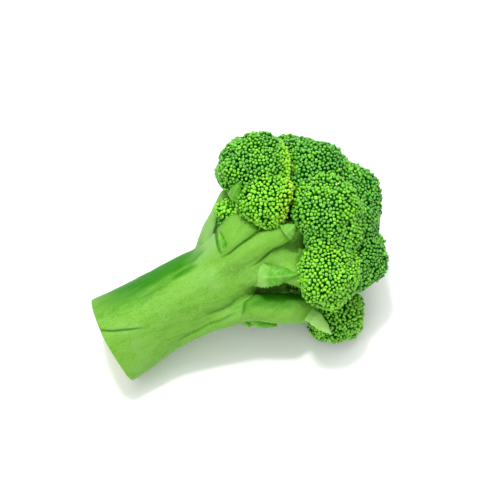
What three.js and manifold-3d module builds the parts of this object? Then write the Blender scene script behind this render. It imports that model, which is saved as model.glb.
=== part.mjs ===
// A head of broccoli, cut and laid on its side: a stalk that forks into branches, a dome of flower
// buds on each branch, and the small bract leaves that grow in the forks. Millimetres, +Z up.
//
// The head is drawn in its own axes. x runs along the stalk from the centre of the cut face to the
// top of the crown, z points out of the side that shows, and y runs across the stalk.
import * as THREE from "three";
import { ConvexHull } from "three/addons/math/ConvexHull.js";
import { mergeVertices } from "three/addons/utils/BufferGeometryUtils.js";
import Module from "manifold-3d";

const wasm = await Module();
wasm.setup();

// How the head lies
const LEAN = THREE.MathUtils.degToRad(14.9); // of the stalk's axis above the table
const ROLL = THREE.MathUtils.degToRad(26.3); // of the head about that axis
const TABLE_DROP = 20.4; // of the table below the centre of the cut face

// Stalk
const STALK_RADIUS = 19.8; // at the waist
const CUT_RADIUS = 23; // where the knife went through
const CUT_FACING = [-1, 0.068, -0.04]; // the way the cut face looks
const FORK = [56, -2, 1]; // where the stalk starts to fork
const TRUNK_SIDES = 24;
const TRUNK_STEPS = 10;
const RIDGES = [
  { count: 3, height: 0.025, turn: 0.6 }, // low ridges round the stalk, as a share of its radius
  { count: 5, height: 0.01, turn: 0 },
];

// Branches, and the branchlets that each one ends in
const BRANCH_SIDES = 9;
const BRANCH_STEPS = 4;
const TIP_SINK = 3; // of a branch's end below the underside of its dome
const BRANCHLETS = 3;
const BRANCHLET_SIDES = 5;
const BRANCHLET_STEPS = 2;
const BRANCHLET_RADIUS = 0.5; // as a share of the branch's end
const BRANCHLET_NARROWING = 0.7; // of its end against its start
const BRANCHLET_BEND = { up: 0.06, aside: 0.34 }; // its middle, as shares of the dome's radius
const BRANCHLET_END = { up: -0.12, aside: 0.52 }; // its end, from the dome's middle

// Domes of buds
const BUD_PITCH = 6; // between the knobs of buds that cover a dome
const BUD_RISE = 1.7; // of a knob over the grooves round it
const HIDDEN_PITCH = 15; // between the points on a dome's hidden faces
const LOBES = 12; // on each dome
const LOBE_OFFSET = 0.48; // of a lobe's centre from the dome's middle, as a share of its radius
const LOBE_RADIUS = 0.54; // as a share of the dome's radius
const CORE_RADIUS = 0.91; // of the ball inside the lobes, as a share of the dome's radius
const UNDERSIDE = 0.46; // depth of a dome below its middle, as a share of its radius
const SEAM_SHARPNESS = 24; // of the edge where a dome meets its neighbour
const HIDDEN_RELIEF = 0.2; // of the knobs on a dome's hidden faces, against those on its cap
const PRESSED_DEPTH = 0.3; // that a dome reaches below the table before it is cut flat there
const RELIEF_HEIGHTS = [0.2, 3]; // above the table, between which the knobs fade in

const BRACT_THICKNESS = 0.9;
const BRACT_STEPS = 8; // along a bract
const BRACT_LINES = [-1, -0.5, 0, 0.5, 1]; // across a bract, as shares of its half width
const TOOTH = 0.08; // of a tooth on its edge, as a share of its half width
const BRACT_CUP = 0.16; // drop of its edges below its midrib, as a share of its width
const TIP_WIDTH = 0.1; // of a bract, as a share of its widest

const GAP = 0.3; // clearance between two pieces that touch

// The stalk's own route, as [x, y, z, radius].
const TRUNK = [
  [-8, -0.6, 0, CUT_RADIUS + 0.6],
  [8, -0.7, 0, CUT_RADIUS - 1.2],
  [24, -0.8, 0, STALK_RADIUS + 0.3],
  [42, -1.2, 0.4, STALK_RADIUS],
  [58, -2, 1, STALK_RADIUS - 0.4],
  [74, -2, 0, 15],
  [92, -1, -2, 9],
];

// Each dome of buds: its middle, its radius, and its underside where it droops further than most.
const DOMES = [
  { name: "floret_01", centre: [104.2, 32.5, 11], radius: 21, underside: 0.6 },
  { name: "floret_02", centre: [101.5, 19.3, 19.6], radius: 16.3, underside: 0.8 },
  { name: "floret_03", centre: [122.7, 13.2, -2.5], radius: 26.1 },
  { name: "floret_04", centre: [125.5, -1, -4], radius: 28.6 },
  { name: "floret_05", centre: [120.8, -2, 15.6], radius: 22 },
  { name: "floret_06", centre: [107, -28, 20], radius: 16.3, underside: 0.68 },
  { name: "floret_07", centre: [122.2, -24.8, -2], radius: 20.8 },
  { name: "floret_08", centre: [102.5, -47.8, -14.2], radius: 15.7, underside: 0.75 },
  { name: "floret_09", centre: [102, 33, -12], radius: 20 },
  { name: "floret_10", centre: [107, 5, -30], radius: 26 },
  { name: "floret_11", centre: [101, -22, -17.6], radius: 22.2 },
  { name: "floret_12", centre: [121, -14, -16.5], radius: 24 },
  { name: "floret_13", centre: [118.5, 20.5, -18], radius: 24.5 },
];

// Each branch: the dome it carries, its route from inside the stalk, and the radius of its end.
const BRANCHES = [
  { dome: "floret_01", route: [[40, 4, 4, 8], [65, 8, 11, 8.5], [84, 15, 13, 8]], end: 7 },
  { dome: "floret_02", route: [[50, 2, 8, 6], [72, 5, 16, 6], [84, 9, 20, 5]], end: 4.5 },
  { dome: "floret_03", route: [[55, 2, -2, 9], [80, 6, -3, 8], [98, 10, -3, 7.5]], end: 6.5 },
  { dome: "floret_04", route: [[60, -2, 0, 9], [85, -4, 0, 8], [105, -5, 0, 7]], end: 6.5 },
  { dome: "floret_05", route: [[50, 0, 9, 7], [79, 2.6, 17, 6.8], [102, 1, 20, 6.2]], end: 6 },
  { dome: "floret_06", route: [[56, -4, 8, 6], [80, -8.5, 13, 6.5], [91, -14, 15.5, 6.5]], end: 5.5 },
  { dome: "floret_07", route: [[58, -3, 7, 6.5], [80, -6, 13.5, 6.5], [98, -9.5, 15.5, 6.5]], end: 5 },
  { dome: "floret_08", route: [[22, -16, 5, 4], [45, -17.5, 7, 5.2], [66, -21, 7, 7], [82, -32, 4, 8]], end: 6.5 },
  { dome: "floret_09", route: [[42, 4, -2, 7], [61.3, 9.7, -2, 6.2], [81.5, 28.2, -4, 6.8]], end: 6.5 },
  { dome: "floret_10", route: [[42, 0, -5, 8], [66, 1, -14, 8], [84, 3, -22, 7.5]], end: 6.5 },
  { dome: "floret_11", route: [[44, -6, -4, 7], [66, -13, -7, 8], [84, -20, -11, 8]], end: 6 },
  { dome: "floret_12", route: [[58, -3, -3, 7], [82, -6, -8, 6.5], [102, -9, -12, 6]], end: 5.5 },
  { dome: "floret_13", route: [[56, 2, -4, 7], [80, 8, -10, 6.5], [98, 14, -15, 6]], end: 5.5 },
];

// Each bract leaf: its base and tip, the way its face looks, its width and how far it arches out,
// and how much of its leaf shape the base cuts off, from 0 for a pointed base to 0.5 for a broad one.
const BRACTS = [
  { base: [77, -9.8, 19.5], tip: [94.6, -19.8, 22.5], face: [0, -0.2, 1], width: 12, arch: 2.6, cut: 0.42 },
  { base: [98.8, 0, 25.8], tip: [106.5, 1.2, 30.5], face: [-0.5, -0.1, 1], width: 9, arch: 1, cut: 0.4 },
  { base: [90.3, -38.2, 3.5], tip: [95.1, -54.6, 0.5], face: [0.2, 0.1, 1], width: 8, arch: 2, cut: 0.3 },
  { base: [70, 4.8, 20.2], tip: [73.6, 17.5, 19.3], face: [-0.5, -0.2, 1], width: 5, arch: 1.5, cut: 0.12 },
  { base: [62, -27, 3], tip: [74, -37, -3], face: [-0.3, -1, 0.4], width: 6, arch: 1.6, cut: 0.2 },
  { base: [70, 10, -23], tip: [88, 19, -27], face: [0, 0.3, -1], width: 8, arch: 2, cut: 0.25 },
];

const GREENS = {
  stalk: new THREE.MeshStandardMaterial({ color: 0x80c84a, roughness: 0.45, metalness: 0 }),
  buds: new THREE.MeshStandardMaterial({ color: 0x54a02f, roughness: 0.55, metalness: 0 }),
  bract: new THREE.MeshStandardMaterial({ color: 0x98c850, roughness: 0.5, metalness: 0 }),
};

const vector = (point) => new THREE.Vector3(point[0], point[1], point[2]);

// The table's upward normal in the head's axes.
const UP = new THREE.Vector3(
  Math.sin(LEAN),
  Math.cos(LEAN) * Math.sin(ROLL),
  Math.cos(LEAN) * Math.cos(ROLL),
);
const heightAboveTable = (point) => point.dot(UP) + TABLE_DROP;

// Solids and meshes

function solidFrom(positions, triangles) {
  const numbers = positions.flatMap((position) => position.toArray());
  const geometry = new THREE.BufferGeometry();
  geometry.setAttribute("position", new THREE.Float32BufferAttribute(numbers, 3));
  geometry.setIndex(triangles.flat());
  return solidOf(geometry);
}

function solidOf(geometry) {
  geometry.deleteAttribute("normal");
  geometry.deleteAttribute("uv");
  const merged = mergeVertices(geometry, 1e-4);
  return new wasm.Manifold(
    new wasm.Mesh({
      numProp: 3,
      vertProperties: merged.attributes.position.array,
      triVerts: new Uint32Array(merged.index.array),
    }),
  );
}

function meshOf(solid, name, material) {
  const made = solid.getMesh();
  const geometry = new THREE.BufferGeometry();
  geometry.setAttribute("position", new THREE.BufferAttribute(new Float32Array(made.vertProperties), 3));
  geometry.setIndex(new THREE.BufferAttribute(new Uint32Array(made.triVerts), 1));
  geometry.computeVertexNormals();
  const mesh = new THREE.Mesh(geometry, material);
  mesh.name = name;
  return mesh;
}

const largestBody = (solid) =>
  solid.decompose().reduce((a, b) => (b.volume() > a.volume() ? b : a));

// Everything on the outer side of a plane, as a large block.
function blockBeyond(point, normal) {
  const size = 400;
  const block = new THREE.BoxGeometry(size, size, size).translate(0, 0, size / 2);
  block.applyQuaternion(new THREE.Quaternion().setFromUnitVectors(new THREE.Vector3(0, 0, 1), normal));
  block.translate(point.x, point.y, point.z);
  return solidOf(block);
}

const belowTable = blockBeyond(UP.clone().multiplyScalar(-TABLE_DROP), UP.clone().negate());

// A round stem along a route of [x, y, z, radius], made `grow` larger all over.
function stem(route, sides, steps, grow, ridge = () => 1) {
  const line = new THREE.CatmullRomCurve3(route.map(vector));
  const thickness = new THREE.CatmullRomCurve3(route.map((p) => new THREE.Vector3(p[3], 0, 0)));
  const positions = [];
  const across = new THREE.Vector3(0, 0, 1);
  for (let i = 0; i <= steps; i++) {
    const t = i / steps;
    const along = line.getTangent(t);
    across.addScaledVector(along, -across.dot(along)).normalize();
    const aside = along.clone().cross(across);
    const centre = line.getPoint(t);
    if (i === 0) centre.addScaledVector(along, -grow);
    if (i === steps) centre.addScaledVector(along, grow);
    for (let k = 0; k < sides; k++) {
      const angle = (2 * Math.PI * k) / sides;
      const reach = thickness.getPoint(t).x * ridge(angle) + grow;
      const point = centre.clone().addScaledVector(across, reach * Math.cos(angle));
      positions.push(point.addScaledVector(aside, reach * Math.sin(angle)));
    }
  }
  const ring = (i, k) => i * sides + (k % sides);
  const triangles = [];
  for (let i = 0; i < steps; i++)
    for (let k = 0; k < sides; k++) {
      triangles.push([ring(i, k), ring(i, k + 1), ring(i + 1, k)]);
      triangles.push([ring(i, k + 1), ring(i + 1, k + 1), ring(i + 1, k)]);
    }
  for (let k = 1; k < sides - 1; k++) {
    triangles.push([ring(0, 0), ring(0, k + 1), ring(0, k)]);
    triangles.push([ring(steps, 0), ring(steps, k), ring(steps, k + 1)]);
  }
  return solidFrom(positions, triangles);
}

// Unit directions spread evenly over a ball by the golden angle.
function spread(count, turn = 0) {
  const golden = Math.PI * (3 - Math.sqrt(5));
  return Array.from({ length: count }, (_, i) => {
    const z = 1 - (2 * i + 1) / count;
    const ring = Math.sqrt(1 - z * z);
    const angle = golden * i + turn;
    return new THREE.Vector3(ring * Math.cos(angle), ring * Math.sin(angle), z);
  });
}

// Domes of buds

function domeOf({ name, centre, radius, underside = UNDERSIDE }, index) {
  const middle = vector(centre);
  return {
    name,
    radius,
    underside,
    middle,
    outward: middle.clone().sub(vector(FORK)).normalize(),
    lobes: spread(LOBES, index).map((way) => way.multiplyScalar(LOBE_OFFSET * radius)),
    walls: [],
  };
}

// The flat walls where a dome presses on its neighbours, and its flat underside.
function addWalls(domes) {
  for (const dome of domes) {
    dome.walls.push({ way: dome.outward.clone().negate(), reach: dome.underside * dome.radius });
    for (const other of domes) {
      if (other === dome) continue;
      const way = other.middle.clone().sub(dome.middle);
      const distance = way.length();
      const reach = (distance ** 2 + dome.radius ** 2 - other.radius ** 2) / (2 * distance);
      dome.walls.push({ way: way.normalize(), reach: reach - GAP / 2 });
    }
  }
}

// How far a dome reaches from its middle in a direction, by its lobes alone.
function lobeReach(dome, direction) {
  const lobeRadius = LOBE_RADIUS * dome.radius;
  let reach = CORE_RADIUS * dome.radius;
  for (const lobe of dome.lobes) {
    const along = direction.dot(lobe);
    const inside = lobeRadius ** 2 - lobe.lengthSq() + along ** 2;
    if (inside > 0) reach = Math.max(reach, along + Math.sqrt(inside));
  }
  return reach;
}

// How far its walls let it reach.
function wallReach(dome, direction) {
  let nearest = Infinity;
  for (const { way, reach } of dome.walls) {
    const share = direction.dot(way);
    if (share > 0) nearest = Math.min(nearest, reach / share);
  }
  return nearest;
}

// Reach of a dome's surface, sunk by `sink` between its knobs and rounded at its seams.
function domeReach(dome, direction, sink) {
  const free = lobeReach(dome, direction);
  const held = wallReach(dome, direction);
  const bare = (free ** -SEAM_SHARPNESS + held ** -SEAM_SHARPNESS) ** (-1 / SEAM_SHARPNESS);
  const height = heightAboveTable(dome.middle.clone().addScaledVector(direction, bare));
  const relief = THREE.MathUtils.smoothstep(height, ...RELIEF_HEIGHTS) * (held < free ? HIDDEN_RELIEF : 1);
  const reach = bare - sink * relief;
  const down = -direction.dot(UP);
  const pressed = (heightAboveTable(dome.middle) + PRESSED_DEPTH) / down;
  return down > 0 ? Math.min(reach, pressed) : reach;
}

// Points along the seam round a dome's cap, halved in between neighbours that it parts.
function seamKnobs(dome, shown, ways) {
  const seam = [];
  const apart = Math.cos((0.75 * BUD_PITCH) / dome.radius);
  for (const face of new ConvexHull().setFromPoints(ways).faces)
    for (const k of [0, 1, 2]) {
      let inner = face.getEdge(k).tail().point;
      let outer = face.getEdge(k).head().point;
      if (!shown(inner) || shown(outer)) continue;
      for (let halving = 0; halving < 12; halving++) {
        const middle = inner.clone().add(outer).normalize();
        if (shown(middle)) inner = middle;
        else outer = middle;
      }
      if (seam.every((way) => way.dot(inner) < apart)) seam.push(inner);
    }
  return seam;
}

// The directions of a dome's knobs on its cap and its seam, and of the few points behind them.
function knobWays(dome) {
  const shown = (way) => lobeReach(dome, way) < wallReach(dome, way);
  const apart = (pitch, one, other) => one.dot(other) < Math.cos(pitch / dome.radius);
  const clearOf = (ways, pitch) => (way) => ways.every((other) => apart(pitch, way, other));
  const countFor = (pitch) => Math.round((4 * Math.PI * dome.radius ** 2) / (0.866 * pitch ** 2));
  const evenly = spread(countFor(BUD_PITCH), dome.radius);
  const seam = seamKnobs(dome, shown, evenly);
  const cap = evenly.filter(shown).filter(clearOf(seam, 0.6 * BUD_PITCH));
  const hidden = spread(countFor(HIDDEN_PITCH), 1).filter((way) => !shown(way));
  const backs = hidden.filter(clearOf([...seam, ...cap], 0.6 * HIDDEN_PITCH));
  return [...seam, ...cap, ...backs];
}

// A dome with a knob of buds at each of those points: high in the middle, low where three meet.
function budDome(dome) {
  const positions = [];
  const numbers = new Map();
  const numberOf = (key, direction, sink) => {
    if (!numbers.has(key)) {
      numbers.set(key, positions.length);
      positions.push(dome.middle.clone().addScaledVector(direction, domeReach(dome, direction, sink)));
    }
    return numbers.get(key);
  };
  const corner = (face) => {
    const way = new THREE.Vector3();
    for (const k of [0, 1, 2]) way.add(face.getEdge(k).head().point);
    return numberOf(face, way.normalize(), BUD_RISE);
  };
  const triangles = [];
  for (const face of new ConvexHull().setFromPoints(knobWays(dome)).faces)
    for (const k of [0, 1, 2]) {
      const edge = face.getEdge(k);
      const top = edge.tail().point;
      triangles.push([numberOf(top, top, 0), corner(edge.twin.face), corner(face)]);
    }
  return solidFrom(positions, triangles).subtract(belowTable);
}

// Stalk and branches

function branchSolids({ route, end }, dome, grow) {
  const tip = dome.middle.clone().addScaledVector(dome.outward, -(UNDERSIDE * dome.radius + TIP_SINK));
  const solids = [stem([...route, [...tip.toArray(), end]], BRANCH_SIDES, BRANCH_STEPS, grow)];
  const side = new THREE.Vector3(0.2, 0.3, 1).cross(dome.outward).normalize();
  const thick = BRANCHLET_RADIUS * end;
  for (let k = 0; k < BRANCHLETS; k++) {
    const way = side.clone().applyAxisAngle(dome.outward, (2 * Math.PI * k) / BRANCHLETS + end);
    const along = (from, { up, aside }) => {
      const point = from.clone().addScaledVector(dome.outward, up * dome.radius);
      return point.addScaledVector(way, aside * dome.radius).toArray();
    };
    const start = tip.clone().addScaledVector(dome.outward, -TIP_SINK).addScaledVector(way, 0.2 * end);
    const branchlet = [
      [...start.toArray(), thick],
      [...along(tip, BRANCHLET_BEND), thick],
      [...along(dome.middle, BRANCHLET_END), BRANCHLET_NARROWING * thick],
    ];
    solids.push(stem(branchlet, BRANCHLET_SIDES, BRANCHLET_STEPS, grow));
  }
  return solids;
}

function stalkSolid(domes, grow = 0) {
  const ridge = (angle) =>
    RIDGES.reduce((sum, { count, height, turn }) => sum + height * Math.cos(count * angle + turn), 1);
  const solids = [stem(TRUNK, TRUNK_SIDES, TRUNK_STEPS, grow, ridge)];
  for (const branch of BRANCHES)
    solids.push(...branchSolids(branch, domes.find((dome) => dome.name === branch.dome), grow));
  const cutAway = blockBeyond(new THREE.Vector3(), vector(CUT_FACING).normalize());
  return wasm.Manifold.union(solids).subtract(cutAway).subtract(belowTable);
}

// Bract leaves

// Half the width of a bract at a share of its length, with its teeth.
function bractHalf({ width, cut }, share, step) {
  const shape = Math.sin(Math.PI * (cut + (1 - cut) * share)) ** 0.8;
  const tooth = step % 2 ? 1 + TOOTH : 1 - TOOTH;
  return (width / 2) * Math.max(TIP_WIDTH, shape) * tooth;
}

// A thin arched blade with a toothed edge, split into triangles alike on both faces.
function bractSolid(bract) {
  const start = vector(bract.base);
  const along = vector(bract.tip).sub(start);
  const out = vector(bract.face);
  out.addScaledVector(along, -out.dot(along) / along.lengthSq()).normalize();
  const side = along.clone().normalize().cross(out);
  const positions = [];
  for (const layer of [0, 1])
    for (let i = 0; i <= BRACT_STEPS; i++) {
      const share = i / BRACT_STEPS;
      const bow = bract.arch * 4 * share * (1 - share);
      for (const line of BRACT_LINES) {
        const lift = bow - BRACT_CUP * bract.width * line ** 2 + layer * BRACT_THICKNESS;
        const point = start.clone().addScaledVector(along, share).addScaledVector(out, lift);
        positions.push(point.addScaledVector(side, line * bractHalf(bract, share, i)));
      }
    }
  const row = BRACT_LINES.length;
  const at = (layer, i, j) => (layer * (BRACT_STEPS + 1) + i) * row + j;
  const triangles = [];
  for (let i = 0; i < BRACT_STEPS; i++)
    for (let j = 0; j < row - 1; j++) {
      triangles.push([at(1, i, j), at(1, i + 1, j + 1), at(1, i + 1, j)]);
      triangles.push([at(1, i, j), at(1, i, j + 1), at(1, i + 1, j + 1)]);
      triangles.push([at(0, i, j), at(0, i + 1, j), at(0, i + 1, j + 1)]);
      triangles.push([at(0, i, j), at(0, i + 1, j + 1), at(0, i, j + 1)]);
    }
  const rim = [];
  for (let i = 0; i < BRACT_STEPS; i++) rim.push([i, 0]);
  for (let j = 0; j < row - 1; j++) rim.push([BRACT_STEPS, j]);
  for (let i = BRACT_STEPS; i > 0; i--) rim.push([i, row - 1]);
  for (let j = row - 1; j > 0; j--) rim.push([0, j]);
  rim.forEach(([i, j], k) => {
    const [nextI, nextJ] = rim[(k + 1) % rim.length];
    triangles.push([at(0, i, j), at(1, nextI, nextJ), at(0, nextI, nextJ)]);
    triangles.push([at(0, i, j), at(1, i, j), at(1, nextI, nextJ)]);
  });
  return solidFrom(positions, triangles);
}

// The whole head

const domes = DOMES.map(domeOf);
addWalls(domes);
const socket = stalkSolid(domes, GAP);

const head = new THREE.Group();
head.add(meshOf(stalkSolid(domes), "stalk", GREENS.stalk));
for (const dome of domes)
  head.add(meshOf(largestBody(budDome(dome).subtract(socket)), dome.name, GREENS.buds));
BRACTS.forEach((bract, i) =>
  head.add(meshOf(largestBody(bractSolid(bract).subtract(socket)), `bract_0${i + 1}`, GREENS.bract)),
);

// Laid on the table, with the middle of its footprint at the origin.
head.rotation.set(ROLL, -LEAN, 0, "YXZ");
head.updateMatrixWorld(true);
const box = new THREE.Box3().setFromObject(head, true);
const foot = box.getCenter(new THREE.Vector3()).setZ(box.min.z);
head.position.copy(foot.negate());

const broccoli = new THREE.Group();
broccoli.add(head);
export default broccoli;
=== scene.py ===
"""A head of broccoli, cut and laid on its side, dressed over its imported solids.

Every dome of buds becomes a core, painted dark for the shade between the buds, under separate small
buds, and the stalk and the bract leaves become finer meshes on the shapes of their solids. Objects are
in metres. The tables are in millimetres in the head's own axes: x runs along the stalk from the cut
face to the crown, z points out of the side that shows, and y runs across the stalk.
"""
import math
import random
from collections import namedtuple

import bmesh
import bpy
import numpy as np
from mathutils import Matrix, Vector, noise
from mathutils.bvhtree import BVHTree
from mathutils.kdtree import KDTree


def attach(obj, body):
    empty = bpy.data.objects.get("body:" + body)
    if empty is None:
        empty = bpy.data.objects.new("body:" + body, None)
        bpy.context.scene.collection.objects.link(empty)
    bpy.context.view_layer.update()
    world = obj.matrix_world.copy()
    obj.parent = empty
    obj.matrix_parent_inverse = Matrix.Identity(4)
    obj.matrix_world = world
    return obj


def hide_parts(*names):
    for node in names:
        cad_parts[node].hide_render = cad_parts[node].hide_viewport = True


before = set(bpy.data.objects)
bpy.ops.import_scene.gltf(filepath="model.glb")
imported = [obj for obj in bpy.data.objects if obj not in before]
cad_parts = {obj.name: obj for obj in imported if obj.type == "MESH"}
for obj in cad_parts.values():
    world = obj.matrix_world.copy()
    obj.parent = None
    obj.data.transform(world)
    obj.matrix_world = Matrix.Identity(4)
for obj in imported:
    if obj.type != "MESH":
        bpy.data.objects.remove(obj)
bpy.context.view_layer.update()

bl_info = {
    "name": "Broccoli head",
    "version": (1, 0, 0),
    "blender": (4, 5, 0),
    "location": "View3D > Sidebar > Broccoli",
    "description": "Dresses a head of broccoli with its buds, stalk skin and bract leaves",
    "category": "Object",
}

MM = 0.001
SEED = 7

# How the head lies
LEAN = math.radians(14.9)
ROLL = math.radians(26.3)
HEAD_ORIGIN = Vector((-71.6334, -1.6666, 20.4)) * MM
HEAD_TURN = Matrix.Rotation(-LEAN, 3, "Y") @ Matrix.Rotation(ROLL, 3, "X")

FLORETS = sorted(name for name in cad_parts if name.startswith("floret"))

# How far each dome's buds are on the way from dark green to yellow green, from 0 to 1
RIPENESS = {
    "floret_01": 0.28,
    "floret_02": 0.66,
    "floret_03": 0.10,
    "floret_04": 0.12,
    "floret_05": 0.38,
    "floret_06": 0.68,
    "floret_07": 0.14,
    "floret_08": 0.56,
}
HIDDEN_RIPENESS = 0.3

# Domes that have grown together into one mass of the crown
MASSES = [
    ("floret_01", "floret_02", "floret_09"),
    ("floret_03", "floret_04", "floret_05", "floret_06", "floret_07",
     "floret_10", "floret_11", "floret_12", "floret_13"),
    ("floret_08",),
]

# The crown's envelope, on which the buds stand, and the cores below it
SMOOTHING_FACTOR = 0.5
MASS_VOXEL = 1.6 * MM
MASS_SMOOTHING = 3
MASS_CLOSING = 8 * MM
ENVELOPE_VOXEL = 1.2 * MM
ENVELOPE_SMOOTHING = 4
ENVELOPE_RISE = 0.5 * MM
CLUSTER_SIZE = 5.5 * MM
CLUSTER_RISE = 1.2 * MM
SEAM_WIDTH = 2.2 * MM
SEAM_DEPTH = 1.1 * MM
MASS_SEAM_WIDTH = 3.6 * MM
MASS_SEAM_DEPTH = 5.0 * MM
SEAM_REACH = 30 * MM
CORE_VOXEL = 1.8 * MM
CORE_SMOOTHING = 6
CORE_SINK = 1.8 * MM

# How open a point is, told by rays
RAY_COUNT = 10
RAY_SPREAD = 0.85
RAY_START = 0.7 * MM
RAY_LENGTH = 25 * MM
LEAST_OPENNESS = 0.12

# Small florets on the branches: the middle and one end of each, its half width and its ripeness
SideFloret = namedtuple("SideFloret", "middle end half ripeness")
SIDE_FLORETS = [
    SideFloret((84.5, 24.6, 15), (90, 22.5, 17.5), 3.6, 0.9),
    SideFloret((81, 26.6, 11), (83, 26, 12), 2.8, 0.8),
    SideFloret((78.2, 21.8, 12.5), (80.2, 25.6, 13), 1.6, 0.1),
    SideFloret((64.8, -27.6, -1), (67.5, -29.3, -1.5), 1.8, 0.1),
    SideFloret((71.5, -33.5, -4), (74, -35.2, -4.5), 1.5, 0.1),
]
SIDE_FLORET_ROUGHNESS = 0.3
SIDE_CORE_SUBDIVISIONS = 4

# One bud, as heights and widths along it from its foot to its tip, in shares of its radius
BUD_SIDES = 8
BUD_PROFILE = [(-0.9, 0.62), (-0.1, 1.0), (0.62, 0.9), (1.05, 0.5)]
BUD_DIMPLE = 0.8
# The dimple's point counts this high for the colour, so the painted highlight is a ring round a darker
# middle
BUD_DIMPLE_SHADE = 0.62
SEPAL_CREASE = 0.14

# How the buds are spread
SCATTER_TRIES = 9
LEAST_SPACING = 0.8
CROWN_ROUNDS = 4
SIDE_FLORET_ROUNDS = 2
PUSHING_NEIGHBOURS = 6
PUSH_STEP = 0.7
SPACING_NEIGHBOURS = 4

# How the buds differ from each other
BUD_TILT = 0.28
BUD_WIDTHS = (0.8, 1.3)
BUD_OVALS = (0.84, 1.19)
BUD_HEIGHTS = (0.8, 1.5)
BUD_HEIGHT_SPREAD = 0.34 * MM
RIPENESS_SPREAD = 0.22
CLUMP_SIZE = 9 * MM
CLUMP_RIPENING = 0.3
SHADE_RIPENING = 0.15
SHADE_OPENNESS = (0.6, 0.2)
RIPE_EDGED_MASS = 0
EDGE_RIPENING = 1.35
EDGE_SPAN = (14 * MM, 1 * MM)

# The cut face, in the head's axes, with its ring of fibres, its pith and the knife's strokes
CUT_FACING = Vector((-1, 0.068, -0.04)).normalized()
CUT_NEARNESS = 0.05 * MM
CUT_EXTENSION = 3 * MM
CUT_RINGS = 16
FIBRE_HEIGHT = 0.16
FIBRE_PLACE = 0.8
FIBRE_WIDTH = 0.05
PITH_DEPTH = 0.35
PITH_REACH = 0.75
FLESH_GRAIN_HEIGHT = 0.1
FLESH_GRAIN_WAVES = 1.1
STROKE_HEIGHT = 0.05
STROKE_WAVES = (3.1, 1.4)
CUT_RIM = (1.0, 0.93)

# The stalk's skin. Relief is its height, then its waves for each millimetre along and across
STALK_VOXEL = 0.9 * MM
STALK_SMOOTHING = 14
STALK_SWELL = 0.3 * MM
RIDGE_RELIEF = (0.32, 0.03, 0.22)
STREAK_RELIEF = (0.12, 0.12, 0.9)
DENT_HEIGHT = 0.22
DENT_WAVES = 0.16
# How shut in each point of the skin is, told by rays: the skin sinks there and is painted with shade
CREASE_RAY_START = 0.5 * MM
CREASE_RAY = 14 * MM
CREASE_OPENNESS = 0.62
CREASE_POWER = 1.3
CREASE_DEPTH = 1.6

# Deeper green on the stalk's upper edge and the low branch, partly its own and partly painted shade
LOW_BRANCH_ALONG = (50, 72)
LOW_BRANCH_ACROSS = (-15, -23)
LOW_BRANCH_FACING = (-0.35, 0.5)
UPPER_EDGE_START = (-8, 22)
UPPER_EDGE_END = 66
UPPER_EDGE_FADE = 14
UPPER_EDGE_WAVE = 6
UPPER_EDGE_FACING = (0.4, 0.75)
UPPER_EDGE_TURN = (-0.45, 0.15)

# Where the skin is paler, near the buds
BUDS_REACH = 40 * MM
PALE_SPAN = (26 * MM, 2 * MM)
MOST_PALENESS = 0.6

# Grooves on the side of the stalk that shows, from the scar of a sliced leaf to the folds between
# branches: a line in x and y of the head's axes, the groove's width and depth, how dark it is painted,
# which on the folds is painted shade, and how far the painted shade beside it reaches on the line's left
Mark = namedtuple("Mark", "line width depth shade reach")
SCAR = ((-8, 10.3), (21, -5.6))
SKIN_MARKS = [
    Mark(SCAR, 0.45, 0.7, 0.75, 0.6),
    Mark(((22, -17), (38, -18.4), (53.5, -20.2), (64, -20.6)), 0.7, 0.6, 0.4, 1),
    Mark(((42, -14), (60, -15.7), (80, -16)), 0.9, 0.8, 0.35, 1.5),
    Mark(((64, 5.5), (82, 7.1), (98, 7.3)), 0.5, 1.1, 0.8, 2.5),
    Mark(((107, -4.5), (92, -3.9), (75, -5)), 0.5, 1.1, 0.8, 2),
    Mark(((79, 29), (71.8, 18.3), (67, 4)), 0.7, 1.1, 0.85, 4),
    Mark(((78, -16.1), (66, -18.8), (61, -25.5)), 0.6, 0.7, 0.6, 2.5),
]
MARK_TAPER = 0.3
MARK_WAVE = 0.9
MARK_WAVE_SIZE = 9
MARK_WAVE_OFFSET = Vector((31.4, 17.2, 5.6))
MARK_REFINED = 2.4
MARK_CUTS = 2
SIDE_SHADE = 0.6

# The flat that the sliced leaf left below its scar
FACET_PLACE = Vector((9, -9.5, 17.6))
FACET_FACING = Vector((0.0, -0.5, 0.866))
FACET_PRESS = 0.45
FACET_SIDE = 2
FACET_END = (27, 16)
FACET_LEAST_PRESS = 0.05
FACET_PALENESS = 0.3

# The waxy left branch starts at this line in x and y, on its left
WAX_LINE = ((68.3, 6.3), (74.9, 24.8))
WAX_EDGE = 2.5
WAX_ALONG = (50, 58)
WAX_ACROSS = (8, 14)

# Each bract leaf, close to the part's own: its base, its tip, the way it faces, its width, how high
# it arches, how far along a whole leaf's outline its base is, how pale it is, and how much paler at
# the base
Leaf = namedtuple("Leaf", "base tip face width arch cut paleness pale_base")
BRACTS = [
    Leaf((76, -9.4, 19.5), (95.8, -19.9, 22.5), (0, -0.2, 1), 13, 2.6, 0.42, 0.05, 0.65),
    Leaf((98.8, 0, 25.8), (106.5, 1.2, 30.5), (-0.5, -0.1, 1), 9, 1, 0.4, 0.2, 0.6),
    Leaf((90.3, -38.2, 3.5), (95.1, -54.6, 0.5), (0.2, 0.1, 1), 8, 2, 0.3, 0.8, 0.2),
    Leaf((70, 4.8, 20.2), (73.6, 17.5, 19.3), (-0.5, -0.2, 1), 5, 1.5, 0.12, 0.0, 0.3),
    Leaf((62, -27, 3), (74, -37, -3), (-0.3, -1, 0.4), 6, 1.6, 0.2, 0.0, 0.2),
    Leaf((70, 10, -23), (88, 19, -27), (0, 0.3, -1), 8, 2, 0.25, 0.2, 0.5),
]

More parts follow.
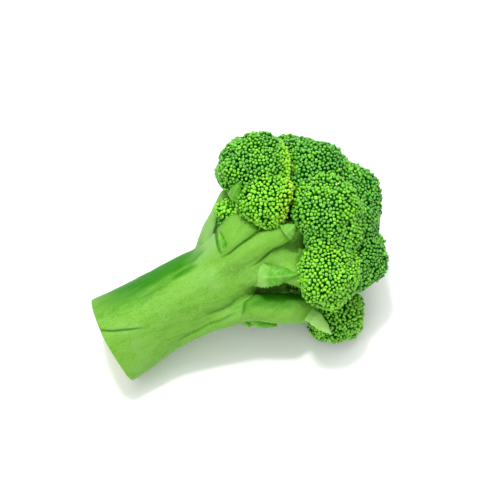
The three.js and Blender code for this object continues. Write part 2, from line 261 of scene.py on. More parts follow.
# Smaller leaves that only the scene has
SMALL_LEAVES = [
    Leaf((85.5, 26, 21), (94.3, 32.4, 31), (-0.7, 0, 0.8), 8, 1.2, 0.3, 0.0, 0.1),
    Leaf((61, -24, -2), (66, -33, -3), (0, -0.6, 1), 4, 1.5, 0.2, 0.0, 0.1),
    Leaf((60, -23, 0), (62, -31, -2), (-0.3, -0.6, 1), 3.5, 1.5, 0.2, 0.2, 0.8),
    Leaf((66, -28, -3), (74, -36.5, -5), (0, -0.6, 1), 4.5, 1.5, 0.2, 0.0, 0.1),
]

# What all the leaves share
LEAF_STEPS = 48
LEAF_LINES = 20
LEAF_ROUNDNESS = 0.8
LEAF_TIP_WIDTH = 0.1
LEAF_THICKNESS = 0.8
LEAF_THINNING = 0.55
LEAF_CUP = 0.16
LEAF_ROOT = 4.2
LEAF_ROOT_SHARE = 0.3
LEAF_PALE_END = (0.45, 0.1)
TEETH = 13
TOOTH_SIZE = 0.22
TOOTH_SIZES = (0.3, 1.0)
TOOTH_POWER = 6
FRILL = 0.05
FRILL_WAVES = 19
FRILL_SHIFT = 6
MIDRIB_WIDTH = 0.45
SIDE_VEINS = 8
SIDE_VEIN_SLANT = 0.4
SIDE_VEIN_WIDTH = 0.09
SIDE_VEIN_SHARE = 0.6
SIDE_VEIN_END = (1, 0.6)
VEIN_RISE = 0.08

# Camera, at the photo's angle
CAMERA_AZIMUTH = math.radians(-27.5)
CAMERA_ELEVATION = math.radians(60)
CAMERA_DISTANCE = 0.6944
CAMERA_AIM = (81.8, 2.2, 0)
CAMERA_LENS = 100
CAMERA_SENSOR = 36

# Lights, as metres from the head's middle and metres across, and the floor
KEY_PLACE = (0.21, 0.40, 1.30)
KEY_SIZE = 1.2
GLINT_PLACE = (-0.05, 0.25, 1.35)
GLINT_SIZE = 0.16
FILL_PLACE = (-0.6, -0.7, 1.1)
FILL_SIZE = 2.0
FLOOR_SIZE = 3.0
FLOOR_CELLS = 8
FLOOR_WHITES = (0.93, 0.95)


def in_row(point):
    """A point of the head's own axes, in millimetres, as a point of the row in metres."""
    return HEAD_TURN @ (Vector(point) * MM) + HEAD_ORIGIN


def in_head(point):
    """A point of the row, in metres, as a point of the head's own axes in millimetres."""
    return HEAD_TURN.transposed() @ (point - HEAD_ORIGIN) / MM


def smoothstep(low, high, value):
    """How far a value is on the way from low to high, from 0 to 1, with a soft start and end."""
    share = min(1.0, max(0.0, (value - low) / (high - low)))
    return share * share * (3 - 2 * share)


# Meshes

def new_object(name, data):
    """A new object in the scene."""
    thing = bpy.data.objects.new(name, data)
    bpy.context.scene.collection.objects.link(thing)
    return thing


def reshaped(source, voxel, smoothing):
    """A copy of a mesh with even small faces, smoothed."""
    work = new_object("reshaping", source.copy())
    remesh = work.modifiers.new("even faces", "REMESH")
    remesh.mode = "VOXEL"
    remesh.voxel_size = voxel
    smooth = work.modifiers.new("smooth", "SMOOTH")
    smooth.factor = SMOOTHING_FACTOR
    smooth.iterations = smoothing
    evaluated = work.evaluated_get(bpy.context.evaluated_depsgraph_get())
    mesh = bpy.data.meshes.new_from_object(evaluated)
    bpy.data.objects.remove(work)
    return mesh


def joined(meshes):
    """One mesh with the faces of several."""
    whole = bmesh.new()
    for mesh in meshes:
        whole.from_mesh(mesh)
    return mesh_from(whole, "joined")


def mesh_from(shape, name):
    """A new mesh with the faces of a shape, which is then freed."""
    mesh = bpy.data.meshes.new(name)
    shape.to_mesh(mesh)
    shape.free()
    return mesh


def triples(items, field, kind):
    """A field of a mesh's items that holds three numbers for each."""
    numbers = np.empty(len(items) * 3, dtype=kind)
    items.foreach_get(field, numbers)
    return numbers.reshape(-1, 3)


def vertex_array(mesh):
    """The places of a mesh's points."""
    return triples(mesh.vertices, "co", np.float32).astype(float)


def normal_array(mesh):
    """The normals at a mesh's points."""
    return triples(mesh.vertex_normals, "vector", np.float32).astype(float)


def triangle_array(mesh):
    """A mesh's faces as triangles of point numbers."""
    mesh.calc_loop_triangles()
    return triples(mesh.loop_triangles, "vertices", np.int32)


def above_table(points):
    """The points, with those below the table lifted onto it."""
    points[..., 2] = np.maximum(points[..., 2], 0)
    return points


def move_along_normals(mesh, distances):
    """Move a mesh's points out along their normals, by one distance or by one for each point."""
    points = vertex_array(mesh) + normal_array(mesh) * np.reshape(distances, (-1, 1))
    mesh.vertices.foreach_set("co", above_table(points).astype(np.float32).ravel())
    mesh.update()


def set_values(mesh, values):
    """Give a mesh named values at its points, for its material to read."""
    for name, numbers in values.items():
        attribute = mesh.attributes.new(name, "FLOAT", "POINT")
        attribute.data.foreach_set("value", numbers.astype(np.float32))


def mesh_of(name, points, faces, values):
    """A smooth mesh of points, of faces with equally many corners in each array, and of values."""
    corners = np.concatenate([block.ravel() for block in faces])
    totals = np.concatenate([np.full(len(block), block.shape[1]) for block in faces])
    starts = np.concatenate([[0], np.cumsum(totals)[:-1]])
    mesh = bpy.data.meshes.new(name)
    mesh.vertices.add(len(points))
    mesh.vertices.foreach_set("co", points.astype(np.float32).ravel())
    mesh.loops.add(len(corners))
    mesh.loops.foreach_set("vertex_index", corners.astype(np.int32))
    mesh.polygons.add(len(totals))
    mesh.polygons.foreach_set("loop_start", starts.astype(np.int32))
    mesh.polygons.foreach_set("loop_total", totals.astype(np.int32))
    mesh.polygons.foreach_set("use_smooth", np.ones(len(totals), dtype=bool))
    set_values(mesh, values)
    mesh.update(calc_edges=True)
    mesh.validate()
    return mesh


def tree_of(names, points=(), polygons=()):
    """A search tree over the solids of the named nodes, and over a surface if there is one."""
    points = [tuple(point) for point in points]
    polygons = [list(polygon) for polygon in polygons]
    for name in names:
        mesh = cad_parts[name].data
        start = len(points)
        points.extend(vertex.co for vertex in mesh.vertices)
        polygons.extend([start + corner for corner in polygon.vertices] for polygon in mesh.polygons)
    return BVHTree.FromPolygons(points, polygons)


def ray_ways():
    """Ways spread over most of a half ball about +Z."""
    golden = math.pi * (3 - math.sqrt(5))
    ways = []
    for number in range(RAY_COUNT):
        z = 1 - (number + 0.5) / RAY_COUNT * RAY_SPREAD
        ring = math.sqrt(1 - z * z)
        ways.append(Vector((ring * math.cos(golden * number), ring * math.sin(golden * number), z)))
    return ways


def openness(points, normals, blockers, start, length):
    """The share of the rays from each point that nothing stops."""
    ways = ray_ways()
    shares = np.empty(len(points))
    for index, (point, normal) in enumerate(zip(points, normals)):
        normal = Vector(normal)
        origin = Vector(point) + normal * start
        turn = normal.to_track_quat("Z", "Y")
        free = sum(blockers.ray_cast(origin, turn @ way, length)[0] is None for way in ways)
        shares[index] = free / RAY_COUNT
    return shares


# Materials

class Shader:
    """A node material, built one node at a time."""

    def __init__(self, name):
        self.material = bpy.data.materials.new(name)
        self.material.use_nodes = True
        self.tree = self.material.node_tree
        self.surface = self.tree.nodes["Principled BSDF"]

    def node(self, kind, inputs, **settings):
        """A new node. An input is a number, a colour or another node's output."""
        node = self.tree.nodes.new(kind)
        for key, value in settings.items():
            setattr(node, key, value)
        self.fill(node, inputs)
        return node

    def fill(self, node, inputs):
        for key, value in inputs.items():
            if isinstance(value, bpy.types.NodeSocket):
                self.tree.links.new(value, node.inputs[key])
            else:
                node.inputs[key].default_value = value

    def value(self, name):
        """A value that the mesh holds at each point."""
        return self.node("ShaderNodeAttribute", {}, attribute_name=name).outputs["Fac"]

    def place(self, stretch=(1, 1, 1)):
        """The object's own coordinates, stretched."""
        coordinates = self.node("ShaderNodeTexCoord", {}).outputs["Object"]
        return self.node("ShaderNodeMapping", {"Vector": coordinates, "Scale": stretch}).outputs["Vector"]

    def noise(self, place, scale, detail=3.0):
        inputs = {"Vector": place, "Scale": scale, "Detail": detail, "Roughness": 0.55}
        return self.node("ShaderNodeTexNoise", inputs).outputs["Fac"]

    def between(self, value, low, high):
        """A value taken from the span low to high and held to 0 to 1."""
        inputs = {"Value": value, "From Min": low, "From Max": high}
        return self.node("ShaderNodeMapRange", inputs, clamp=True).outputs["Result"]

    def spots(self, place, scale, low, high, detail=3.0):
        """Noise that is 0 where it is low and 1 where it is high."""
        return self.between(self.noise(place, scale, detail), low, high)

    def sum(self, first, second):
        return self.node("ShaderNodeMath", {0: first, 1: second}, operation="ADD").outputs[0]

    def product(self, first, second):
        return self.node("ShaderNodeMath", {0: first, 1: second}, operation="MULTIPLY").outputs[0]

    def blend(self, share, first, second):
        """The first colour, turned into the second by a share."""
        node = self.node("ShaderNodeMix", {}, data_type="RGBA")
        self.fill(node, {"Factor": share, 6: first, 7: second})
        return node.outputs[2]

    def tint(self, colour, share, other, most=1.0):
        """A colour turned towards another by a share, and by no more than `most`."""
        return self.blend(self.product(share, most), colour, rgba(other))

    def bump(self, height, distance, strength):
        inputs = {"Height": height, "Distance": distance, "Strength": strength}
        return self.node("ShaderNodeBump", inputs).outputs["Normal"]

    def finish(self, **inputs):
        """The material, with the inputs of its surface filled in."""
        self.fill(self.surface, {key.replace("_", " "): value for key, value in inputs.items()})
        return self.material


def rgba(colour):
    return (colour[0], colour[1], colour[2], 1.0)


def bud_material(settings):
    """Waxy bud skin, from dark green to yellow green, with painted shade at the foot of each bud and a
    painted highlight on its tip.
    """
    shader = Shader("bud skin")
    place = shader.place()
    mottle = shader.sum(shader.noise(place, scale=900), -0.5)
    ripeness = shader.sum(shader.value("ripeness"), mottle)
    skin = shader.blend(shader.between(ripeness, 0, 1), rgba(settings.dark), rgba(settings.ripe))
    skin = shader.tint(skin, shader.between(ripeness, 1, 1.8), settings.yellow)
    rise = shader.value("rise")
    # Painted highlight: the top of each bud turns towards the tip colour
    skin = shader.tint(skin, shader.between(rise, 0.75, 1.0), settings.tip, most=0.5)
    # Painted shade: low on each bud the skin turns to the dark colour between the buds
    foot = shader.between(rise, 0.15, 0.78)
    grain = shader.noise(place, scale=2600, detail=2.0)
    return shader.finish(
        Base_Color=shader.blend(foot, rgba(settings.gap), skin),
        Roughness=0.45,
        Specular_IOR_Level=0.08,
        Coat_Weight=0.25,
        Coat_Roughness=0.07,
        Normal=shader.bump(grain, distance=0.12 * MM, strength=0.5),
    )


def gap_shade_material(settings):
    """The flesh between the buds, painted dark for the shade that falls between them."""
    shader = Shader("flesh between buds")
    mottle = shader.spots(shader.place(), scale=500, low=0.3, high=0.7)
    colour = shader.blend(mottle, rgba(settings.gap), rgba(settings.light_gap_shade))
    return shader.finish(Base_Color=colour, Roughness=0.7, Specular_IOR_Level=0.05)


def stalk_material(settings):
    """Stalk skin with lengthwise streaks and mottling, and what its points say of it."""
    shader = Shader("stalk skin")
    along = shader.place(stretch=(0.16, 1, 1))
    even = shader.place()
    streaks = shader.spots(along, scale=420, low=0.36, high=0.66, detail=4.0)
    broad = shader.spots(along, scale=90, low=0.3, high=0.7)
    mottle = shader.spots(even, scale=260, low=0.35, high=0.7, detail=4.0)
    bloom = shader.spots(even, scale=70, low=0.48, high=0.72)
    grain = shader.spots(even, scale=1300, low=0.38, high=0.62, detail=2.0)
    skin = shader.blend(broad, rgba(settings.skin_deep), rgba(settings.skin))
    skin = shader.tint(skin, streaks, settings.skin_light, most=0.35)
    skin = shader.tint(skin, mottle, settings.skin_light, most=0.3)
    skin = shader.tint(skin, bloom, settings.waxy, most=0.5)
    skin = shader.tint(skin, grain, settings.skin_light, most=0.5)
    skin = shader.tint(skin, shader.value("paleness"), settings.pale, most=0.7)
    skin = shader.tint(skin, shader.value("wax"), settings.waxy)
    # Deeper green on the upper edge and the low branch, partly the skin's own colour and partly painted
    # shade
    green_and_shade_patches = shader.product(shader.between(broad, -0.6, 0.4), shader.value("green"))
    skin = shader.tint(skin, green_and_shade_patches, settings.edge)
    # Painted shade deep in the forks and in and beside the folds, with the scar's dark line
    skin = shader.tint(skin, shader.value("crease"), settings.crease)
    skin = shader.tint(skin, shader.value("cut"), settings.flesh)
    height = shader.sum(streaks, shader.sum(mottle, grain))
    return shader.finish(
        Base_Color=skin,
        Roughness=0.5,
        Specular_IOR_Level=0.1,
        Subsurface_Weight=0.12,
        Subsurface_Radius=(0.6, 1.0, 0.3),
        Subsurface_Scale=1.5 * MM,
        Normal=shader.bump(height, distance=0.12 * MM, strength=0.6),
    )


def bract_material(settings):
    """Leaf skin, pale at the base and along the veins."""
    shader = Shader("bract skin")
    mottle = shader.spots(shader.place(), scale=420, low=0.3, high=0.7, detail=4.0)
    leaf = shader.blend(mottle, rgba(settings.leaf_deep), rgba(settings.leaf))
    leaf = shader.tint(leaf, shader.value("paleness"), settings.base)
    leaf = shader.tint(leaf, shader.value("vein"), settings.base, most=0.25)
    return shader.finish(
        Base_Color=leaf,
        Roughness=0.45,
        Specular_IOR_Level=0.2,
        Subsurface_Weight=0.1,
        Subsurface_Radius=(0.6, 1.0, 0.3),
        Subsurface_Scale=1.0 * MM,
        Normal=shader.bump(mottle, distance=0.1 * MM, strength=0.5),
    )


def paper_material():
    """The plain white floor."""
    shader = Shader("white floor")
    dark, light = [rgba((white, white, white)) for white in FLOOR_WHITES]
    tint = shader.blend(shader.noise(shader.place(), scale=40), dark, light)
    return shader.finish(Base_Color=tint, Roughness=0.8)


# Buds

def mass_of(names):
    """One surface over domes that have grown together, with the grooves between them filled."""
    domes = joined([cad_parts[name].data for name in names])
    swollen = reshaped(domes, MASS_VOXEL, MASS_SMOOTHING)
    move_along_normals(swollen, MASS_CLOSING)
    closed = reshaped(swollen, MASS_VOXEL, MASS_SMOOTHING)
    move_along_normals(closed, -MASS_CLOSING)
    return closed


def mass_number(name):
    """Which mass of the crown a floret belongs to."""
    return next(number for number, names in enumerate(MASSES) if name in names)


def nearest_florets(point, trees):
    """The florets within reach of a point, the nearest first, as pairs of distance and name."""
    found = []
    for name, tree in trees.items():
        distance = tree.find_nearest(point, SEAM_REACH)[3]
        if distance is not None:
            found.append((distance, name))
    return sorted(found)


def seam_sink(point, trees):
    """How far the crown sinks in at a point where two florets meet."""
    (nearest, own), *others = nearest_florets(point, trees)
    sink = 0.0
    for distance, name in others:
        apart = distance - nearest
        if mass_number(name) == mass_number(own):
            sink = max(sink, SEAM_DEPTH * smoothstep(SEAM_WIDTH, 0, apart))
        else:
            sink = max(sink, MASS_SEAM_DEPTH * smoothstep(MASS_SEAM_WIDTH, 0, apart))
    return sink


def crown_envelope(trees):
    """One surface over the whole crown, a little above its domes and sunk in at their seams."""
    envelope = reshaped(joined([mass_of(names) for names in MASSES]), ENVELOPE_VOXEL, ENVELOPE_SMOOTHING)
    rises = []
    for point in vertex_array(envelope):
        clusters = noise.noise(Vector(point) / CLUSTER_SIZE) * CLUSTER_RISE
        rises.append(clusters + ENVELOPE_RISE - seam_sink(Vector(point), trees))
    move_along_normals(envelope, rises)
    return envelope


def floret_core(name, trees):
    """What stands under a floret's buds: its solid, shrunk, and sunk in where the crown is."""
    core = reshaped(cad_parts[name].data, CORE_VOXEL, CORE_SMOOTHING)
    sinks = [CORE_SINK + seam_sink(Vector(point), trees) for point in vertex_array(core)]
    move_along_normals(core, np.negative(sinks))
    return core


def scattered(points, triangles, least, rng):
    """Random places on triangles, none nearer to another than `least`."""
    corners = points[triangles]
    crossed = np.cross(corners[:, 1] - corners[:, 0], corners[:, 2] - corners[:, 0])
    area = np.linalg.norm(crossed, axis=1) / 2
    count = int(area.sum() / least ** 2 * SCATTER_TRIES)
    chosen = np.searchsorted(np.cumsum(area), rng.random(count) * area.sum())
    chosen = np.minimum(chosen, len(triangles) - 1)
    root = np.sqrt(rng.random(count))
    second = rng.random(count)
    shares = np.stack([1 - root, root * (1 - second), root * second], axis=1)
    places = (corners[chosen] * shares[:, :, None]).sum(axis=1)
    cells = np.floor(places / least).astype(int).tolist()
    around = [(x, y, z) for x in (-1, 0, 1) for y in (-1, 0, 1) for z in (-1, 0, 1)]
    taken = {}
    kept = []
    for cell, spot in zip(cells, places.tolist()):
        near = (taken.get((cell[0] + x, cell[1] + y, cell[2] + z), ()) for x, y, z in around)
        if all(math.dist(other, spot) >= least for others in near for other in others):
            taken.setdefault(tuple(cell), []).append(spot)
            kept.append(spot)
    return kept


def place_tree(places):
    """A search tree over places."""
    tree = KDTree(len(places))
    for index, place in enumerate(places):
        tree.insert(place, index)
    tree.balance()
    return tree


def evened(places, surface, pitch, rounds):
    """Places pushed apart on a surface until they lie about a pitch from each other."""
    places = [Vector(place) for place in places]
    for _ in range(rounds):
        tree = place_tree(places)
        pushed = []
        for place in places:
            push = Vector()
            for other, _index, distance in tree.find_n(place, PUSHING_NEIGHBOURS + 1):
                if 0 < distance < pitch:
                    push += (place - other) * ((pitch - distance) / distance / 2)
            pushed.append(surface.find_nearest(place + push * PUSH_STEP)[0])
        places = pushed
    return places


def spacing(places):
    """How far each place lies from its nearest neighbours, on average."""
    tree = place_tree(places)
    gaps = []
    for place in places:
        found = tree.find_n(place, SPACING_NEIGHBOURS + 1)
        gaps.append(sum(distance for _place, _index, distance in found) / SPACING_NEIGHBOURS)
    return gaps


def bud_template():
    """Points of one bud, its faces and how high each stands on it, from 0 to 1, less in its dimple."""
    points = []
    for height, width in BUD_PROFILE:
        for side in range(BUD_SIDES):
            angle = 2 * math.pi * side / BUD_SIDES
            reach = width * (1 - SEPAL_CREASE * (side % 2))
            points.append((reach * math.cos(angle), reach * math.sin(angle), height))
    points.append((0, 0, BUD_DIMPLE))
    quads = []
    for ring in range(len(BUD_PROFILE) - 1):
        low = ring * BUD_SIDES
        high = low + BUD_SIDES
        for side in range(BUD_SIDES):
            after = (side + 1) % BUD_SIDES
            quads.append((low + side, low + after, high + after, high + side))
    last = (len(BUD_PROFILE) - 1) * BUD_SIDES
    tip = len(points) - 1
    caps = [(last + side, last + (side + 1) % BUD_SIDES, tip) for side in range(BUD_SIDES)]
    foot = [tuple(reversed(range(BUD_SIDES)))]
    points = np.array(points, dtype=float)
    lowest = BUD_PROFILE[0][0]
    rise = (points[:, 2] - lowest) / (BUD_PROFILE[-1][0] - lowest)
    # Counted lower, so the painted highlight on the tip is a ring round a darker middle
    rise[tip] = BUD_DIMPLE_SHADE
    return points, [np.array(quads), np.array(caps), np.array(foot)], rise


def bud_mesh(name, buds, core):
    """A dome's core and its buds as one mesh, the core in the first material."""
    template, faces, rise = bud_template()
    turns = np.array([bud["turn"] for bud in buds])
    places = np.array([bud["place"] for bud in buds])
    sizes = np.array([bud["size"] for bud in buds])
    local = template[None, :, :] * sizes[:, None, :]
    points = above_table(np.einsum("nij,nvj->nvi", turns, local) + places[:, None, :])
    core_points = vertex_array(core)
    core_faces = np.array([list(polygon.vertices) for polygon in core.polygons])
    firsts = len(core_points) + np.arange(len(buds))[:, None, None] * len(template)
    blocks = [(block[None] + firsts).reshape(-1, block.shape[1]) for block in faces]
    bare = np.zeros(len(core_points))
    ripeness = np.repeat([bud["ripeness"] for bud in buds], len(template))
    values = {
        "ripeness": np.concatenate([bare, ripeness]),
        "rise": np.concatenate([bare, np.tile(rise, len(buds))]),
    }
    everything = np.concatenate([core_points, points.reshape(-1, 3)])
    mesh = mesh_of(name, everything, [core_faces] + blocks, values)
    materials = np.ones(len(mesh.polygons), dtype=np.int32)
    materials[:len(core_faces)] = 0
    mesh.polygons.foreach_set("material_index", materials)
    return mesh


def bud_at(place, normal, radius, ripeness, draw):
    """One bud, a little off its place and its size, leaning a little."""
    tilt = Vector([draw.gauss(0, BUD_TILT) for _ in range(3)])
    way = (normal + tilt).normalized()
    spin = Matrix.Rotation(draw.uniform(0, math.tau), 3, "Z")
    wide = radius * draw.uniform(*BUD_WIDTHS)
    oval = draw.uniform(*BUD_OVALS)
    return {
        "place": place + normal * draw.gauss(0, BUD_HEIGHT_SPREAD),
        "turn": way.to_track_quat("Z", "Y").to_matrix() @ spin,
        "size": (wide * oval, wide / oval, radius * draw.uniform(*BUD_HEIGHTS)),
        "ripeness": ripeness + draw.gauss(0, RIPENESS_SPREAD),
    }


def edge_ripening(found):
    """How much riper buds are along the edge that the upper left mass turns to its neighbour."""
    own = mass_number(found[0][1])
    others = [distance for distance, name in found if mass_number(name) != own]
    if own != RIPE_EDGED_MASS or not others:
        return 0.0
    return EDGE_RIPENING * smoothstep(*EDGE_SPAN, min(others))


def grown_buds(settings, trees):
    """Every bud of the crown, in a list for each floret."""
    rng = np.random.default_rng(SEED)
    draw = random.Random(SEED)
    envelope = crown_envelope(trees)
    points = vertex_array(envelope)
    normals = normal_array(envelope)
    triangles = triangle_array(envelope)
    open_at = openness(points, normals, tree_of(["stalk"], points, triangles), RAY_START, RAY_LENGTH)
    triangles = triangles[open_at[triangles].mean(axis=1) > LEAST_OPENNESS]
    start = scattered(points, triangles, settings.pitch * LEAST_SPACING, rng)
    surface = BVHTree.FromPolygons(points.tolist(), triangles.tolist())
    places = evened(start, surface, settings.pitch, CROWN_ROUNDS)
    grown = {name: [] for name in FLORETS}
    for place, gap in zip(places, spacing(places)):
        corners = triangles[surface.find_nearest(place)[2]]
        normal = Vector(normals[corners].mean(axis=0)).normalized()
        found = nearest_florets(place, trees)
        nearest = found[0][1]
        ripeness = RIPENESS.get(nearest, HIDDEN_RIPENESS) + edge_ripening(found)
        ripeness += CLUMP_RIPENING * noise.noise(place / CLUMP_SIZE)
        ripeness += SHADE_RIPENING * smoothstep(*SHADE_OPENNESS, float(open_at[corners].mean()))
        grown[nearest].append(bud_at(place, normal, gap / 2, ripeness, draw))
    return grown


def side_core(floret):
    """The rough oval core of a small floret."""
    middle = in_row(floret.middle)
    reach = in_row(floret.end) - middle
    half = floret.half * MM
    stretch = Matrix.Diagonal((half, half, reach.length + half / 2))
    turn = reach.to_track_quat("Z", "Y").to_matrix() @ stretch
    shape = bmesh.new()
    bmesh.ops.create_icosphere(shape, subdivisions=SIDE_CORE_SUBDIVISIONS, radius=1)
    for vertex in shape.verts:
        place = turn @ vertex.co
        rough = 1 + SIDE_FLORET_ROUGHNESS * noise.noise((middle + place) / CLUSTER_SIZE)
        vertex.co = middle + place * rough
    return mesh_from(shape, "side core")


def side_buds(floret, core, pitch, rng, draw):
    """The buds of a small floret, over its core."""
    points = vertex_array(core)
    triangles = triangle_array(core)
    surface = BVHTree.FromPolygons(points.tolist(), triangles.tolist())
    start = scattered(points, triangles, pitch * LEAST_SPACING, rng)
    places = evened(start, surface, pitch, SIDE_FLORET_ROUNDS)
    buds = []
    for place, gap in zip(places, spacing(places)):
        normal = surface.find_nearest(place)[1]
        buds.append(bud_at(place, normal, gap / 2, floret.ripeness, draw))
    return buds


# Stalk

def beside_line(point, line):
    """How far a point lies from a chain of straight lines in x and y, whether it is on the chain's
    left, and how far along the chain it is, from 0 to 1."""
    nearest = math.inf
    on_left = False
    along = 0.0
    for number, (start, end) in enumerate(zip(line, line[1:])):
        start = Vector(start)
        way = Vector(end) - start
        share = min(1.0, max(0.0, (point - start).dot(way) / way.length_squared))
        away = point - start - way * share
        if away.length < nearest:
            nearest = away.length
            on_left = way.cross(away) > 0
            along = (number + share) / (len(line) - 1)
    return nearest, on_left, along


def marks_at(point):
    """How deep the marks' grooves are at a point of the head's axes, in millimetres, and how dark they
    are painted: the scar's dark line, and painted shade in and beside the folds.
    """
    if point.z <= 0:
        return 0.0, 0.0
    depth = 0.0
    darkest = 0.0
    spot = point / MARK_WAVE_SIZE
    waved = point.xy + MARK_WAVE * Vector((noise.noise(spot), noise.noise(spot + MARK_WAVE_OFFSET)))
    for mark in SKIN_MARKS:
        away, on_left, along = beside_line(waved, mark.line)
        taper = smoothstep(0, MARK_TAPER, along) * smoothstep(1, 1 - MARK_TAPER, along)
        share = math.exp(-(away / mark.width) ** 2)
        depth += mark.depth * taper * share
        if on_left:
            share = max(share, SIDE_SHADE * math.exp(-away / mark.reach))
        darkest = max(darkest, mark.shade * taper * share)
    return depth, darkest


def stalk_relief(point):
    """How far the skin stands out at a point of the head's axes, in millimetres."""
    relief = 0.0
    for height, along, across in (RIDGE_RELIEF, STREAK_RELIEF):
        spot = Vector((point.x * along, point.y * across, point.z * across))
        relief += height * noise.noise(spot)
    return relief + DENT_HEIGHT * noise.noise(point * DENT_WAVES) - marks_at(point)[0]


def facet_press(point):
    """How far the skin is pressed in where a leaf was sliced off."""
    above = (point - FACET_PLACE).dot(FACET_FACING)
    (start_x, start_y), (end_x, end_y) = SCAR
    scar_y = start_y + (point.x - start_x) * (end_y - start_y) / (end_x - start_x)
    if above <= 0 or point.y > scar_y:
        return 0.0
    side = beside_line(point.xy, SCAR)[0]
    return above * FACET_PRESS * smoothstep(0, FACET_SIDE, side) * smoothstep(*FACET_END, point.x)


def refine_at_marks(mesh):
    """Give the mesh smaller faces along the marks on the skin."""
    shape = bmesh.new()
    shape.from_mesh(mesh)
    near = set()
    for vertex in shape.verts:
        point = in_head(vertex.co)
        nearest = min(beside_line(point.xy, mark.line)[0] for mark in SKIN_MARKS)
        if point.z > 0 and nearest < MARK_REFINED:
            near.add(vertex)
    edges = [edge for edge in shape.edges if edge.verts[0] in near and edge.verts[1] in near]
    bmesh.ops.subdivide_edges(shape, edges=edges, cuts=MARK_CUTS, use_grid_fill=True)
    shape.to_mesh(mesh)
    shape.free()


def rim_of(edges):
    """The points of a closed ring of edges, in their order round it."""
    rim = [edges[0].verts[0], edges[0].verts[1]]
    while True:
        onward = [edge.other_vert(rim[-1]) for edge in rim[-1].link_edges if edge in edges]
        onward = [vertex for vertex in onward if vertex is not rim[-2]]
        if not onward or onward[0] is rim[0]:
            return rim
        rim.append(onward[0])


def cut_across(mesh):
    """Cut the mesh through at the knife's plane and close it with rings, and give the rings' points."""
    shape = bmesh.new()
    shape.from_mesh(mesh)
    facing = HEAD_TURN @ CUT_FACING
    everything = shape.verts[:] + shape.edges[:] + shape.faces[:]
    found = bmesh.ops.bisect_plane(
        shape, geom=everything, plane_co=HEAD_ORIGIN, plane_no=facing, clear_outer=True)
    edges = [part for part in found["geom_cut"] if isinstance(part, bmesh.types.BMEdge)]
    rim = rim_of(edges)
    for edge in edges:
        edge.smooth = False
    centre = sum((vertex.co for vertex in rim), Vector()) / len(rim)
    outer = rim
    inner = []
    for number in range(1, CUT_RINGS):
        share = 1 - number / CUT_RINGS
        ring = []
        for vertex in rim:
            place = centre + (vertex.co - centre) * share
            ring.append(shape.verts.new(place + facing * cut_relief(share, in_head(place)) * MM))
        for one in range(len(rim)):
            two = (one + 1) % len(rim)
            shape.faces.new((outer[one], outer[two], ring[two], ring[one]))
        inner.extend(ring)
        outer = ring
    middle = shape.verts.new(centre + facing * cut_relief(0, in_head(centre)) * MM)
    inner.append(middle)
    for one in range(len(rim)):
        shape.faces.new((outer[one], outer[(one + 1) % len(rim)], middle))
    bmesh.ops.recalc_face_normals(shape, faces=shape.faces[:])
    shape.verts.index_update()
    numbers = [vertex.index for vertex in inner]
    shape.to_mesh(mesh)
    shape.free()
    return numbers


def cut_relief(share, point):
    """How far the cut flesh stands out, by its share of the way from the middle to the skin."""
    fibres = FIBRE_HEIGHT * math.exp(-((share - FIBRE_PLACE) / FIBRE_WIDTH) ** 2)
    pith = -PITH_DEPTH * (1 - smoothstep(0.0, PITH_REACH, share))
    spot = Vector((point.y * FLESH_GRAIN_WAVES, point.z * FLESH_GRAIN_WAVES, 0))
    grain = FLESH_GRAIN_HEIGHT * noise.noise(spot)
    strokes = STROKE_HEIGHT * math.sin(point.y * STROKE_WAVES[0] + point.z * STROKE_WAVES[1])
    return (fibres + pith + grain + strokes) * smoothstep(*CUT_RIM, share)


def creases(mesh):
    """How deep in a crease each point of a mesh lies, from 0 to 1."""
    points = vertex_array(mesh)
    everything = tree_of(FLORETS, points, triangle_array(mesh))
    open_at = openness(points, normal_array(mesh), everything, CREASE_RAY_START, CREASE_RAY)
    return np.clip((CREASE_OPENNESS - open_at) / CREASE_OPENNESS, 0, 1) ** CREASE_POWER


def green_and_shade_depth(place, normal):
    """How much deeper the green of the skin is, along the stalk's upper edge and on the low branch:
    partly the skin's own deeper green, partly painted shade on the sides that turn from the light.
    """
    low_branch = smoothstep(*LOW_BRANCH_ALONG, place.x) * smoothstep(*LOW_BRANCH_ACROSS, place.y)
    end = UPPER_EDGE_END + UPPER_EDGE_WAVE * noise.noise(place / MARK_WAVE_SIZE)
    upper_edge = smoothstep(*UPPER_EDGE_START, place.x) * smoothstep(end, end - UPPER_EDGE_FADE, place.x)
    upper_edge *= smoothstep(*UPPER_EDGE_FACING, normal.y) * smoothstep(*UPPER_EDGE_TURN, normal.z)
    return max(low_branch * smoothstep(*LOW_BRANCH_FACING, normal.y), upper_edge * (1 - low_branch))


def waxiness(place):
    """How waxy the skin is at a place in the head's axes, from 0 to 1."""
    away, on_left, _along = beside_line(place.xy, WAX_LINE)
    if not on_left:
        return 0.0
    across = smoothstep(*WAX_ACROSS, place.y)
    return smoothstep(0, WAX_EDGE, away) * smoothstep(*WAX_ALONG, place.x) * across


def skin_values(mesh, cut_points):
    """What the skin's material needs to know at each point."""
    buds = tree_of(FLORETS)
    count = len(mesh.vertices)
    values = {name: np.zeros(count) for name in ("paleness", "green", "wax")}
    # Painted shade in the forks, by how shut in each point is
    values["crease"] = creases(mesh)
    values["cut"] = np.zeros(count)
    for index, (point, normal) in enumerate(zip(vertex_array(mesh), normal_array(mesh))):
        away = buds.find_nearest(Vector(point), BUDS_REACH)[3]
        place = in_head(Vector(point))
        values["green"][index] = green_and_shade_depth(place, HEAD_TURN.transposed() @ Vector(normal))
        values["wax"][index] = waxiness(place)
        # The marks' darkness, painted shade at the folds, joins the painted shade of the forks
        values["crease"][index] = max(values["crease"][index], marks_at(place)[1])
        if away is not None:
            values["paleness"][index] = MOST_PALENESS * smoothstep(*PALE_SPAN, away)
        if facet_press(place) > FACET_LEAST_PRESS:
            values["paleness"][index] = FACET_PALENESS
    values["cut"][cut_points] = 1
    values["crease"][cut_points] = 0
    return values


